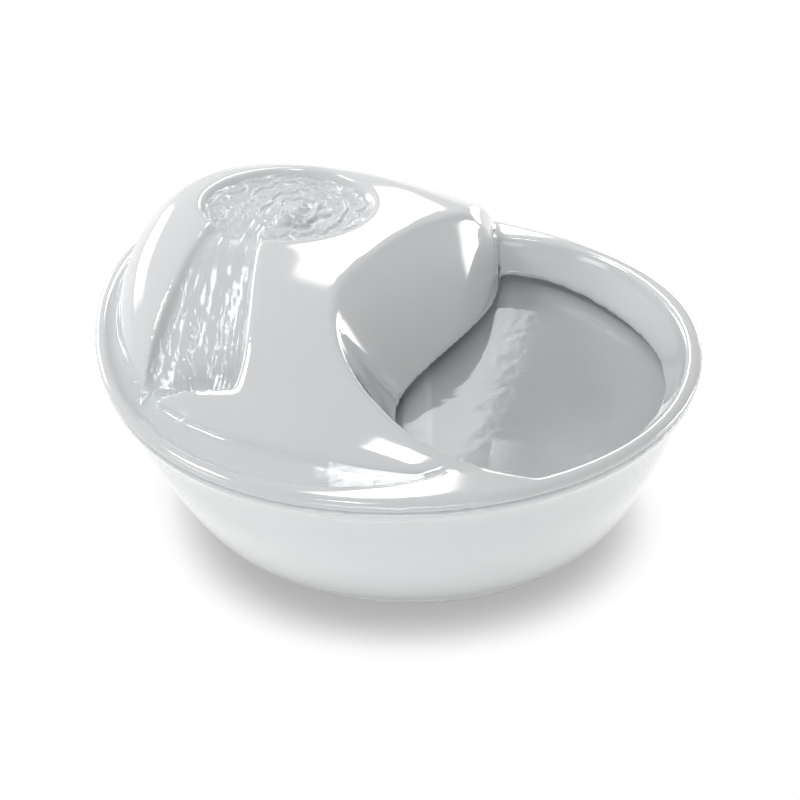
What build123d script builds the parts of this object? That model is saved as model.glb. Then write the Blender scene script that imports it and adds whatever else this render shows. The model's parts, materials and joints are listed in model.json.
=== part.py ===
from build123d import *
import os
from math import cos, sin, radians, exp, hypot

os.makedirs("parts", exist_ok=True)

# ---------------------------------------------------------------- driving dimensions (mm)
rim_radius = 129.8           # mean radius of the egg-shaped rim
rim_centre = (-5.85, -2.56)  # centre of that radius; the rim's box is centred on the origin
wave_2, turn_2 = 10.96, -26.9   # the rim's long diameter: how much, and which way it points
wave_3, turn_3 = 6.53, 3.27     # its egg shape
wave_4, turn_4 = 1.65, 30.5
foot_height = 6.0
foot_inset = 48.5            # the foot stands this far inside the rim
foot_shift = (7.9, 8.5)      # and a little to the right of it and behind it
foot_recess = 3.0
wall_spread = 58.0           # how far the bowl's wall would draw in down at the foot's top
bowl_height = 98.0           # top of the bowl's rim, where the cover lies
rim_profile = ((-3.0, 1.25), (-1.6, 0.5), (-0.6, 0.9), (0.0, 2.0))   # height from bowl_height, inset
bowl_wall = 4.2
bowl_floor = 11.0

lip_rise = 5.6               # height of the cover's rolled lip
# share of lip_rise, inset
lip_profile = ((0.0, 1.2), (0.21, 0.3), (0.5, 0.0), (0.75, 0.6), (0.93, 1.9), (1.0, 3.2))
lip_width = 5.0
gutter_rise = 2.3            # gutter floor above the bowl's rim
plate_drop = 3.5             # the plate drops this far into the bowl
plate_clearance = 1.0
dome_rise = 42.0             # top of the dome above the bowl's rim
dome_wall = 5.0
dish_centre = (-49.5, 48.5)
dish_radii = (39.5, 31.5)
dish_depth = 10.5
dish_rim = 2.5
hole_drop = 12.0             # lower edge of the drinking hole below the bowl's rim
funnel_wall = 5.0
outlet_at = (-44.0, 46.0)
outlet_bore = 11.0
collar_bore = 14.6
collar_diameter = 23.0
collar_length = 10.0
notch_angle = 118.0
notch_width = 7.0
notch_height = 2.0

lip_top = bowl_height + lip_rise
gutter_floor = bowl_height + gutter_rise
plate_bottom = bowl_height - plate_drop
dome_top = bowl_height + dome_rise
hole_level = bowl_height - hole_drop
scale = rim_radius / 129.8   # the plan follows the rim


def rim(angle, inset=0.0):
    """Point of the rim's outline at a compass angle, moved inwards by inset."""
    def at(a):
        r = rim_radius + wave_2 * cos(2 * (a - radians(turn_2)))
        r += wave_3 * cos(3 * (a - radians(turn_3))) + wave_4 * cos(4 * (a - radians(turn_4)))
        return rim_centre[0] + r * cos(a), rim_centre[1] + r * sin(a)
    a, e = radians(angle), 0.001
    (x0, y0), (x1, y1), (x2, y2) = at(a - e), at(a), at(a + e)
    n = hypot(x2 - x0, y2 - y0)
    return x1 - inset * (y2 - y0) / n, y1 + inset * (x2 - x0) / n


def bump(angle, centre, width):
    """Smooth hill of height 1 round the compass."""
    d = (angle - centre + 180) % 360 - 180
    return exp(-((d / width) ** 2))


def around(count):
    return [360.0 * i / count for i in range(count)]


def bowl_inset(z):
    """How far the bowl's outside has drawn in at height z."""
    t = min(max((z - foot_height) / (bowl_height - foot_height), 0), 1)
    return wall_spread * (1 - t ** 0.36) ** 0.8


def bowl_outline(inset, shift_part=None):
    k = inset / foot_inset if shift_part is None else shift_part
    return [(x + foot_shift[0] * k, y + foot_shift[1] * k) for x, y in
            (rim(a, inset) for a in around(16))]


# ---------------------------------------------------------------- bowl
with BuildPart() as bowl:
    for z in (foot_height - 1, 9, 16, 30, 52, 76, bowl_height - 3):
        with BuildSketch(Plane.XY.offset(z)):
            with BuildLine():
                Spline(*bowl_outline(bowl_inset(z)), periodic=True)
            make_face()
    loft()
    # rounded rim
    for z, inset in rim_profile:
        with BuildSketch(Plane.XY.offset(bowl_height + z)):
            with BuildLine():
                Spline(*bowl_outline(inset), periodic=True)
            make_face()
    loft()
    # foot
    with BuildSketch(Plane.XY):
        with BuildLine():
            Spline(*bowl_outline(foot_inset, 1), periodic=True)
        make_face()
    extrude(amount=foot_height + 1)
    # inside
    for z in (bowl_floor, 15, 23, 38, 58, 78, bowl_height + 1):
        with BuildSketch(Plane.XY.offset(z)):
            with BuildLine():
                Spline(*bowl_outline(bowl_inset(z - 3) + bowl_wall), periodic=True)
            make_face()
    loft(mode=Mode.SUBTRACT)
    with BuildSketch(Plane.XY):
        with BuildLine():
            Spline(*bowl_outline(foot_inset + 7, 1), periodic=True)
        make_face()
    extrude(amount=foot_recess, mode=Mode.SUBTRACT)
bowl.part.label = "bowl"
export_step(bowl.part, "parts/bowl.step")

# ---------------------------------------------------------------- cover
# The drinking hole's wall, as pairs of points: on the hole's edge at hole_level, and on the crest
# (or, on the right, on the lip) where the wall ends, with the height of that end over the rim.
left_wall = [
    ((49.7, 70.6), (47.6, 79.4), 5.6),
    ((49.2, 58.4), (43.5, 62.0), 20.0),
    ((45.8, 43.0), (30.2, 50.0), 35.0),
    ((34.0, 20.5), (6.0, 28.3), 40.0),
    ((20.0, -1.0), (-11.4, 6.7), 39.8),
    ((6.2, -25.0), (-26.1, -20.8), 35.4),
    ((1.4, -45.0), (-22.7, -49.8), 26.9),
    ((8.0, -64.0), (-1.3, -81.3), 15.5),
    ((24.0, -79.0), (14.2, -92.8), 10.4),
    ((42.0, -88.0), (34.5, -102.0), 5.9),
    ((60.0, -91.0), (57.5, -109.5), 5.6),
]
right_wall = [
    ((84.0, -79.0), (91.0, -90.0), 5.6),
    ((104.0, -59.0), (113.0, -66.0), 5.6),
    ((116.6, -37.0), (125.0, -39.0), 5.6),
    ((120.3, -16.0), (129.5, -12.0), 5.6),
    ((118.5, 3.0), (127.5, 10.0), 5.6),
    ((109.5, 25.0), (116.0, 38.0), 5.6),
    ((95.6, 44.7), (97.5, 60.0), 5.6),
    ((77.8, 61.0), (76.0, 72.5), 5.6),
    left_wall[0],
]


def wall_point(pair, z, grow=0.0, centre=(62.0, -12.0)):
    """Point of the hole's wall at height z, moved outwards by grow."""
    (x0, y0), (x1, y1), rise = pair
    u = (z - hole_level) / (rise + hole_drop)
    if u > 1 and rise < 6:
        u = 1.0
    k = u if u < 0 else u ** (1.3 if rise < 6 else 0.9)
    x, y = x0 + (x1 - x0) * k, y0 + (y1 - y0) * k
    d = hypot(x - centre[0], y - centre[1])
    f = 1 + grow / d
    return scale * (centre[0] + (x - centre[0]) * f), scale * (centre[1] + (y - centre[1]) * f)


def gutter_width(a):
    return 8.8 + 18.2 * bump(a, -113, 43) - 4.5 * bump(a, 62, 20)


def dome_point(a, z, skin=0.0):
    """Point of the dome at compass angle a and height z; skin moves it inwards."""
    bx, by = rim(a, gutter_width(a) + 1.15 * skin)
    tx = scale * dish_centre[0] + (dish_radii[0] + dish_rim - 0.6 * skin) * cos(radians(a))
    ty = scale * dish_centre[1] + (dish_radii[1] + dish_rim - 0.6 * skin) * sin(radians(a))
    low, high = bowl_height + 1, dome_top - skin
    m = 1.3 + 0.08 * bump(a, 60, 40) + 0.66 * bump(a, 150, 40)
    t = min(max((z - low) / (high - low), 0), 1)
    s = (1 - t ** m) ** (1 / m)
    return tx + s * (bx - tx), ty + s * (by - ty)


# stations of the chute's floor: x, y, width, height above the gutter
chute = ((-66.0, 40.0, 21.0, 36.9), (-71.0, 27.0, 23.0, 36.0), (-76.0, 12.0, 26.5, 33.2),
         (-80.5, -6.0, 30.5, 25.0), (-85.5, -28.0, 34.5, 11.5), (-89.5, -46.0, 36.5, 0.7),
         (-91.0, -54.0, 37.0, 0.0))
chute_run = Vector(-0.235, -0.972, 0)
chute_side = Vector(0.972, -0.235, 0)
dome_levels = [bowl_height + dome_rise * k for k in (0.01, 0.1, 0.26, 0.45, 0.65, 0.82, 0.93, 1.0)]

with BuildPart() as hollow:
    # space under the dome
    for z in (plate_bottom - 2, bowl_height + 5, bowl_height + 14, bowl_height + 24, dome_top - 8.5,
              dome_top - dome_wall):
        with BuildSketch(Plane.XY.offset(z)):
            with BuildLine():
                Spline(*[dome_point(a, max(z, bowl_height + 1), dome_wall) for a in around(14)],
                       periodic=True)
            make_face()
    loft()
    # less the wall of the drinking hole
    for z in (hole_level - 8, bowl_height + 2, dome_top + 6):
        with BuildSketch(Plane.XY.offset(z)):
            with BuildLine():
                Spline(*[wall_point(p, z, funnel_wall + 3) for p in (left_wall + right_wall[:-1])[::2]],
                       periodic=True)
            make_face()
    loft(mode=Mode.SUBTRACT)
    # less the bottom of the dish
    for z, k in ((dome_top - dish_depth - dome_wall, 0.62), (dome_top - 7, 0.98), (dome_top + 1, 1.12)):
        with BuildSketch(Plane.XY.offset(z)):
            with Locations((dish_centre[0] * scale, dish_centre[1] * scale)):
                Ellipse(dish_radii[0] * k, dish_radii[1] * k)
    loft(mode=Mode.SUBTRACT)
    # less the bottom and banks of the chute
    for x, y, w, z in chute:
        with BuildSketch(Plane(origin=(x * scale, y * scale, gutter_floor + z - 4.5), x_dir=chute_side,
                               z_dir=chute_run)):
            with BuildLine():
                Polyline((-w / 2 - 3, 0), (w / 2 + 3, 0), (w / 2 + 24, 50), (-w / 2 - 24, 50), close=True)
            make_face()
    loft(mode=Mode.SUBTRACT)
    # less the collar under the outlet
    with BuildSketch(Plane.XY.offset(dome_top - dish_depth - dome_wall - collar_length)):
        with Locations(outlet_at):
            Circle(collar_diameter / 2)
            Circle(collar_bore / 2, mode=Mode.SUBTRACT)
    extrude(amount=collar_length + 3, mode=Mode.SUBTRACT)

with BuildPart() as hole_wall:
    # outside of the drinking hole's wall, kept clear of the bowl
    for z, k in ((hole_level, 0.75), (hole_level + 7, 0.9), (bowl_height + 1.5, 1.0)):
        with BuildSketch(Plane.XY.offset(z)):
            with BuildLine():
                Spline(*[wall_point(p, z, funnel_wall * k) for p in left_wall + right_wall[:-1]],
                       periodic=True)
            make_face()
    loft()
    for z in (hole_level - 1, hole_level + 6, bowl_height + 2):
        with BuildSketch(Plane.XY.offset(z)):
            with BuildLine():
                Spline(*bowl_outline(bowl_inset(z - 3) + bowl_wall + plate_clearance), periodic=True)
            make_face()
    loft(mode=Mode.INTERSECT)

with BuildPart() as cover:
    # rolled lip
    for share, inset in lip_profile:
        with BuildSketch(Plane.XY.offset(bowl_height + lip_rise * share)):
            with BuildLine():
                Spline(*[rim(a, inset) for a in around(16)], periodic=True)
            make_face()
    loft()
    # gutter
    for z, inset in ((gutter_floor, 3.0), (gutter_floor + 1.2, 1.0), (lip_top + 0.2, -0.8)):
        with BuildSketch(Plane.XY.offset(z)):
            with BuildLine():
                Spline(*[rim(a, lip_width + inset + 60 * bump(a, 2, 48) ** 0.5) for a in around(24)],
                       periodic=True)
            make_face()
    loft(mode=Mode.SUBTRACT)
    # plate that drops into the bowl
    with BuildSketch(Plane.XY.offset(plate_bottom)):
        with BuildLine():
            Spline(*bowl_outline(bowl_inset(plate_bottom - 3) + bowl_wall + plate_clearance), periodic=True)
        make_face()
    extrude(amount=gutter_floor - plate_bottom - 0.3)
    # dome
    for z in dome_levels:
        with BuildSketch(Plane.XY.offset(z)):
            with BuildLine():
                Spline(*[dome_point(a, max(z, bowl_height + 1)) for a in around(20)], periodic=True)
            make_face()
    loft()
    add(hole_wall.part)
    # drinking hole
    for z in (hole_level - 3, hole_level + 7, bowl_height + 3, bowl_height + 10, bowl_height + 20,
              bowl_height + 30, dome_top + 4):
        with BuildSketch(Plane.XY.offset(z)):
            with BuildLine():
                Spline(*[wall_point(p, z) for p in left_wall])
                Spline(*[wall_point(p, z) for p in [left_wall[-1]] + right_wall])
            make_face()
    loft(mode=Mode.SUBTRACT)
    # the ridge ends in a rounded nose on the lip
    with BuildSketch(Plane.XZ.offset(-150)):
        with BuildLine():
            Spline((26 * scale, dome_top - 4.5), (36 * scale, bowl_height + 30),
                   (42.5 * scale, bowl_height + 20), (45.8 * scale, bowl_height + 11),
                   (47.0 * scale, lip_top))
            Polyline((47.0 * scale, lip_top), (180, lip_top), (180, dome_top + 20),
                     (26 * scale, dome_top + 20), (26 * scale, dome_top - 4.5))
        make_face()
    extrude(amount=108, mode=Mode.SUBTRACT)
    # dish
    for z, k in ((dish_depth, 0.45), (dish_depth - 3, 0.78), (3.0, 0.96), (-1.0, 1.01)):
        with BuildSketch(Plane.XY.offset(dome_top - z)):
            with Locations((dish_centre[0] * scale, dish_centre[1] * scale)):
                Ellipse(dish_radii[0] * k, dish_radii[1] * k)
    loft(mode=Mode.SUBTRACT)
    # chute
    for x, y, w, z in chute:
        with BuildSketch(Plane(origin=(x * scale, y * scale, gutter_floor + z), x_dir=chute_side,
                               z_dir=chute_run)) as cut:
            with BuildLine():
                Polyline((-w / 2, 0), (w / 2, 0), (w / 2 + 18, 50), (-w / 2 - 18, 50), close=True)
            make_face()
            fillet(cut.vertices().group_by(Axis.Z)[0], 4)
    loft(mode=Mode.SUBTRACT)
    # outlet
    with BuildSketch(Plane.XY.offset(dome_top - dish_depth - 8)):
        with Locations(outlet_at):
            Circle(outlet_bore / 2)
    extrude(amount=20, mode=Mode.SUBTRACT)
    add(hollow.part, mode=Mode.SUBTRACT, clean=False)
    # notch for a lead at the back
    notch_x, notch_y = rim(notch_angle, 6)
    with BuildSketch(Plane.XY.offset(plate_bottom - 1)):
        with Locations(Location((notch_x, notch_y), notch_angle)):
            Rectangle(30, notch_width)
    extrude(amount=plate_drop + 1 + notch_height, mode=Mode.SUBTRACT)
cover.part.label = "cover"
export_step(cover.part, "parts/cover.step")

# ---------------------------------------------------------------- pump
# The rotor's axis runs along X at axis_y, axis_z; the outlet points straight up at outlet_at.
axis_y = outlet_at[1]
axis_z = bowl_floor + 22.0
case_front, case_back = -36.0, -4.0   # X of the motor case
case_half, case_low, case_high = 21.0, bowl_floor + 4.0, bowl_floor + 48.0
case_wall = 2.4
well_bore, well_wall, well_length = 15.0, 1.8, 26.0
magnet_diameter, magnet_length = 14.0, 18.0
shaft_diameter, shaft_clearance = 2.0, 0.06
impeller_diameter, impeller_width, blades = 24.0, 6.0, 6
volute_diameter, volute_bore, volute_front = 36.0, 28.0, -54.0
volute_wall = 3.0
eye_diameter, eye_hub, eye_arm = 12.0, 6.8, 1.6
seal_outer, seal_inner, seal_width = 34.0, 30.4, 1.8
rear_bush_diameter, front_bush_diameter = 5.0, 4.4
bush_length = 2.4
hub_diameter, disc_thickness, blade_thickness = 7.2, 1.2, 1.3
nozzle_outer, nozzle_bore, nozzle_top = 10.0, 6.6, bowl_floor + 56.0
core_depth, leg_inner, leg_width, yoke_low, yoke_height = 14.0, 10.2, 6.0, axis_z + 12.9, 7.0
core_x = -21.0
coil_build = 3.0
cup_diameter, cup_stem, cup_grip = 14.0, 6.0, 1.6
cup_inset = 6.0              # of the suction cups from the case's edges
tube_outer = 14.0
cap_front, cap_back, cap_wall, cap_clearance = -62.0, -49.5, 1.6, 0.25
rail_length, rail_gap, rail_lip_gap, rail_height, rail_lip = 26.0, 12.0, 10.4, 2.2, 0.9
regulator_width, regulator_height, regulator_thickness = 8.4, 11.7, 1.8
regulator_clearance = 0.15
grommet_at = (14.0, -4.0)    # from the rotor's axis, past the end of the filter's holder
grommet_diameter, grommet_collar, lead_bore, grommet_depth = 8.0, 10.0, 4.8, 8.0
cup_spots = [(x, axis_y + side * (case_half - cup_inset))
             for x in (case_front + cup_inset, case_back - cup_inset) for side in (-1, 1)]
# local x is Y, local y is Z
front_plane = Plane(origin=(0, axis_y, axis_z), x_dir=(0, 1, 0), z_dir=(1, 0, 0))


def across(x):
    """Sketch plane across the rotor's axis at x."""
    return front_plane.offset(x)


with BuildPart() as pump_casing:
    with BuildSketch(across(case_front)):
        with Locations((0, (case_low + case_high) / 2 - axis_z)):
            RectangleRounded(2 * case_half, case_high - case_low, 5)
    extrude(amount=case_back - case_front)
    # chamber for the stator, open at the back
    with BuildSketch(across(case_front + 3)):
        with Locations((0, (case_low + case_high) / 2 - axis_z)):
            RectangleRounded(2 * case_half - 2 * case_wall, case_high - case_low - 2 * case_wall, 3)
    extrude(amount=case_back - case_front, mode=Mode.SUBTRACT)
    # rotor well
    with BuildSketch(across(case_front + 1)):
        Circle(well_bore / 2 + well_wall)
    extrude(amount=well_length)
    with BuildSketch(across(case_front)):
        Circle(well_bore / 2)
    extrude(amount=well_length, mode=Mode.SUBTRACT)
    # seat of the rear bush
    with BuildSketch(across(case_front + well_length - 0.2)):
        Circle(rear_bush_diameter / 2)
    extrude(amount=1.0, mode=Mode.SUBTRACT)
    # seats of the suction cups
    with BuildSketch(Plane.XY.offset(case_low)):
        with Locations(*cup_spots):
            Circle(cup_stem / 2)
    extrude(amount=cup_grip, mode=Mode.SUBTRACT)
pump_casing.part.label = "pump_casing"
export_step(pump_casing.part, "parts/pump_casing.step")

with BuildPart() as stator_core:
    with BuildSketch(across(core_x - core_depth / 2)):
        with Locations((0, yoke_low + yoke_height / 2 - axis_z)):
            Rectangle(2 * (leg_inner + leg_width), yoke_height)
        for side in (-1, 1):
            with Locations((side * (leg_inner + leg_width / 2), (yoke_low + yoke_height - axis_z - 8) / 2)):
                Rectangle(leg_width, yoke_low + yoke_height - axis_z + 8)
    extrude(amount=core_depth)
stator_core.part.label = "stator_core"
export_step(stator_core.part, "parts/stator_core.step")

bobbin_plane = Plane(origin=(core_x, axis_y - leg_inner + 0.3, yoke_low + yoke_height / 2), x_dir=(1, 0, 0),
                     z_dir=(0, 1, 0))
with BuildPart() as coil_bobbin:
    with BuildSketch(bobbin_plane):
        Rectangle(core_depth + 2, yoke_height + 2)
    extrude(amount=2 * leg_inner - 0.6)
    for start in (0, 2 * leg_inner - 1.6):
        with BuildSketch(bobbin_plane.offset(start)):
            Rectangle(core_depth + 2 + 2 * coil_build, yoke_height + 1 + 2 * coil_build)
        extrude(amount=1)
    with BuildSketch(bobbin_plane.offset(-1)):
        Rectangle(core_depth + 0.2, yoke_height + 0.2)
    extrude(amount=2 * leg_inner + 2, mode=Mode.SUBTRACT)
coil_bobbin.part.label = "coil_bobbin"
export_step(coil_bobbin.part, "parts/coil_bobbin.step")

with BuildPart() as coil_winding:
    with BuildSketch(bobbin_plane.offset(1)):
        RectangleRounded(core_depth + 2 + 2 * coil_build - 0.6, yoke_height + 1 + 2 * coil_build - 0.6, 2)
        Rectangle(core_depth + 2, yoke_height + 2, mode=Mode.SUBTRACT)
    extrude(amount=2 * leg_inner - 2.6)
coil_winding.part.label = "coil_winding"
export_step(coil_winding.part, "parts/coil_winding.step")

with BuildPart() as pump_potting:
    with BuildSketch(across(case_front + 3)):
        with Locations((0, (case_low + case_high) / 2 - axis_z)):
            RectangleRounded(2 * case_half - 2 * case_wall, case_high - case_low - 2 * case_wall, 3)
    extrude(amount=case_back - case_front - 4)
    with BuildSketch(across(case_front)):
        Circle(well_bore / 2 + well_wall)
    extrude(amount=well_length + 1, mode=Mode.SUBTRACT)
    add(stator_core.part, mode=Mode.SUBTRACT)
    with BuildSketch(bobbin_plane):
        Rectangle(core_depth + 2 + 2 * coil_build, yoke_height + 1 + 2 * coil_build)
    extrude(amount=2 * leg_inner - 0.6, mode=Mode.SUBTRACT)
    with BuildSketch(across(case_back - grommet_depth)):
        with Locations(grommet_at):
            Circle(grommet_diameter / 2)
    extrude(amount=grommet_depth + 2, mode=Mode.SUBTRACT)
pump_potting.part.label = "pump_potting"
export_step(pump_potting.part, "parts/pump_potting.step")

with BuildPart() as cord_grommet:
    with BuildSketch(across(case_back - grommet_depth)):
        with Locations(grommet_at):
            Circle(grommet_diameter / 2)
    extrude(amount=grommet_depth + 1)
    with BuildSketch(across(case_back)):
        with Locations(grommet_at):
            Circle(grommet_collar / 2)
    extrude(amount=3, taper=12)
    with BuildSketch(across(case_back - grommet_depth + 2)):
        with Locations(grommet_at):
            Circle(lead_bore / 2)
    extrude(amount=grommet_depth + 12, mode=Mode.SUBTRACT)
cord_grommet.part.label = "cord_grommet"
export_step(cord_grommet.part, "parts/cord_grommet.step")

rotor_x = case_front + well_length - 2.6 - magnet_length
with BuildPart() as rotor_magnet:
    with BuildSketch(across(rotor_x)):
        Circle(magnet_diameter / 2)
        Circle(shaft_diameter / 2 + shaft_clearance, mode=Mode.SUBTRACT)
    extrude(amount=magnet_length)
rotor_magnet.part.label = "rotor_magnet"
export_step(rotor_magnet.part, "parts/rotor_magnet.step")

impeller_x = case_front - 2.5 - impeller_width
with BuildPart() as impeller:
    # hub, disc and blades
    with BuildSketch(across(impeller_x)):
        Circle(hub_diameter / 2)
    extrude(amount=rotor_x - impeller_x)
    with BuildSketch(across(impeller_x + impeller_width - disc_thickness)):
        Circle(impeller_diameter / 2)
    extrude(amount=disc_thickness)
    with BuildSketch(across(impeller_x)):
        with PolarLocations(0, blades):
            with Locations((impeller_diameter / 4 + 0.9, 0)):
                Rectangle(impeller_diameter / 2 - 2.2, blade_thickness)
    extrude(amount=impeller_width - 1)
    with BuildSketch(across(impeller_x - 1)):
        Circle(shaft_diameter / 2 + shaft_clearance)
    extrude(amount=rotor_x - impeller_x + 2, mode=Mode.SUBTRACT)
impeller.part.label = "impeller"
export_step(impeller.part, "parts/impeller.step")

shaft_front = volute_front + 0.6
shaft_back = case_front + well_length + 0.4
with BuildPart() as rotor_shaft:
    with BuildSketch(across(shaft_front)):
        Circle(shaft_diameter / 2)
    extrude(amount=shaft_back - shaft_front)
rotor_shaft.part.label = "rotor_shaft"
export_step(rotor_shaft.part, "parts/rotor_shaft.step")

with BuildPart() as rear_bush:
    with BuildSketch(across(case_front + well_length - 1.6)):
        Circle(rear_bush_diameter / 2)
    extrude(amount=bush_length)
    with BuildSketch(across(case_front + well_length - 2)):
        Circle(shaft_diameter / 2)
    extrude(amount=bush_length, mode=Mode.SUBTRACT)
rear_bush.part.label = "rear_bush"
export_step(rear_bush.part, "parts/rear_bush.step")

with BuildPart() as front_bush:
    with BuildSketch(across(volute_front + 0.2)):
        Circle(front_bush_diameter / 2)
    extrude(amount=volute_wall)
    with BuildSketch(across(volute_front + 0.6)):
        Circle(shaft_diameter / 2)
    extrude(amount=3, mode=Mode.SUBTRACT)
front_bush.part.label = "front_bush"
export_step(front_bush.part, "parts/front_bush.step")

with BuildPart() as volute:
    with BuildSketch(across(volute_front)):
        Circle(volute_diameter / 2)
    extrude(amount=case_front - volute_front)
    with BuildSketch(Plane.XY.offset(axis_z)):
        with Locations(outlet_at):
            Circle(nozzle_outer / 2)
    extrude(amount=nozzle_top - axis_z)
    with BuildSketch(across(volute_front + volute_wall)):
        Circle(volute_bore / 2)
    extrude(amount=30, mode=Mode.SUBTRACT)
    with BuildSketch(Plane.XY.offset(axis_z + volute_bore / 2 - 2)):
        with Locations(outlet_at):
            Circle(nozzle_bore / 2)
    extrude(amount=60, mode=Mode.SUBTRACT)
    # eye with three arms that carry the front bush
    with BuildSketch(across(volute_front - 1)):
        Circle(eye_diameter / 2)
    extrude(amount=6, mode=Mode.SUBTRACT)
    with BuildSketch(across(volute_front)):
        Circle(eye_hub / 2)
        with PolarLocations(0, 3):
            with Locations((eye_diameter / 4 + 0.5, 0)):
                Rectangle(eye_diameter / 2, eye_arm)
    extrude(amount=volute_wall)
    with BuildSketch(across(volute_front + 0.2)):
        Circle(front_bush_diameter / 2)
    extrude(amount=volute_wall + 1, mode=Mode.SUBTRACT)
    # groove for the seal
    with BuildSketch(across(case_front - seal_width)):
        Circle(seal_outer / 2)
        Circle(seal_inner / 2, mode=Mode.SUBTRACT)
    extrude(amount=seal_width + 1, mode=Mode.SUBTRACT)
volute.part.label = "volute"
export_step(volute.part, "parts/volute.step")

with BuildPart() as volute_seal:
    with BuildSketch(across(case_front - seal_width)):
        Circle(seal_outer / 2)
        Circle(seal_inner / 2, mode=Mode.SUBTRACT)
    extrude(amount=seal_width)
volute_seal.part.label = "volute_seal"
export_step(volute_seal.part, "parts/volute_seal.step")

for number, (x, y) in enumerate(cup_spots, 1):
    with BuildPart() as suction_cup:
        with BuildSketch(Plane(origin=(x, y, 0), x_dir=(1, 0, 0), z_dir=(0, -1, 0))):
            with BuildLine():
                Polyline((0, bowl_floor + 1.8), (cup_diameter / 2 - 1.5, bowl_floor),
                         (cup_diameter / 2, bowl_floor), (cup_diameter / 2, bowl_floor + 0.8),
                         (3, bowl_floor + 3), (2.2, case_low - 0.4), (cup_stem / 2, case_low),
                         (cup_stem / 2, case_low + cup_grip), (0, case_low + cup_grip), close=True)
            make_face()
        revolve(axis=Axis((x, y, 0), (0, 0, 1)))
    suction_cup.part.label = f"suction_cup_{number}"
    export_step(suction_cup.part, f"parts/suction_cup_{number}.step")

tube_top = dome_top - dish_depth - dome_wall - 2.0
tube_bottom = nozzle_top - 9.0
with BuildPart() as outlet_tube:
    with BuildSketch(Plane.XY.offset(tube_bottom)):
        with Locations(outlet_at):
            Circle(tube_outer / 2)
            Circle(nozzle_outer / 2, mode=Mode.SUBTRACT)
    extrude(amount=tube_top - tube_bottom)
outlet_tube.part.label = "outlet_tube"
export_step(outlet_tube.part, "parts/outlet_tube.step")

cap_bore = volute_diameter / 2 + cap_clearance
with BuildPart() as intake_cap:
    with BuildSketch(across(cap_front)):
        Circle(cap_bore + cap_wall)
    extrude(amount=cap_back - cap_front)
    with BuildSketch(across(cap_front + cap_wall)):
        Circle(cap_bore)
    extrude(amount=30, mode=Mode.SUBTRACT)
    # strainer slots below and above, and the window behind the regulator
    with BuildSketch(across(cap_front - 1)):
        for row in (-12.0, -9.0, 9.0, 12.0):
            with Locations((0, row)):
                Rectangle(18, 1.4)
        with Locations((-4, 0)):
            Rectangle(6, 8)
    extrude(amount=5, mode=Mode.SUBTRACT)
    with BuildSketch(across(cap_front + cap_wall + 2)) as sides:
        with PolarLocations(0, 18):
            with Locations((cap_bore, 0)):
                Rectangle(6, 2)
    extrude(amount=3.6, mode=Mode.SUBTRACT)
    # rails of the regulator
    for side in (-1, 1):
        with BuildSketch(across(cap_front)):
            with Locations((0, side * (rail_gap / 2 + 0.8))):
                Rectangle(rail_length, 1.6)
        extrude(amount=-rail_height)
        with BuildSketch(across(cap_front - rail_height)):
            with Locations((0, side * (rail_lip_gap / 2 + 1.2))):
                Rectangle(rail_length, 2.4)
        extrude(amount=-rail_lip)
intake_cap.part.label = "intake_cap"
export_step(intake_cap.part, "parts/intake_cap.step")

with BuildPart() as flow_regulator:
    with BuildSketch(across(cap_front - regulator_clearance)):
        with Locations((4.0, 0)):
            Rectangle(regulator_width, regulator_height)
    extrude(amount=-regulator_thickness)
    with BuildSketch(across(cap_front - regulator_clearance - regulator_thickness + 0.05)):
        with Locations((4.0, 0)):
            Rectangle(2.0, 8.0)
    extrude(amount=-2.6)
flow_regulator.part.label = "flow_regulator"
export_step(flow_regulator.part, "parts/flow_regulator.step")

# ---------------------------------------------------------------- filter
filter_x = 8.0
holder_depth, holder_width, holder_top = 16.0, 84.0, bowl_floor + 53.0
slot_depth, slot_width, slot_floor = 10.0, 76.0, bowl_floor + 3.0
windows, window_bar, window_margin = 3, 3.0, 6.0
cartridge_clearance = 0.35
cartridge_top = bowl_floor + 58.0
with BuildPart() as filter_holder:
    with BuildSketch(Plane.XY.offset(bowl_floor)):
        with Locations((filter_x, 0)):
            Rectangle(holder_depth, holder_width)
    extrude(amount=holder_top - bowl_floor)
    with BuildSketch(Plane.XY.offset(slot_floor)):
        with Locations((filter_x, 0)):
            Rectangle(slot_depth, slot_width)
    extrude(amount=100, mode=Mode.SUBTRACT)
    corners = filter_holder.edges().filter_by(Axis.Z).group_by(Axis.Y)
    fillet(corners[0] + corners[-1], 2.5)
    with BuildSketch(Plane.YZ.offset(filter_x - holder_depth)):
        with GridLocations(slot_width / windows - 1, 0, windows, 1):
            with Locations((0, (slot_floor + holder_top) / 2)):
                Rectangle(slot_width / windows - 1 - window_bar, holder_top - slot_floor - 2 * window_margin)
    extrude(amount=2 * holder_depth, mode=Mode.SUBTRACT)
filter_holder.part.label = "filter_holder"
export_step(filter_holder.part, "parts/filter_holder.step")

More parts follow.
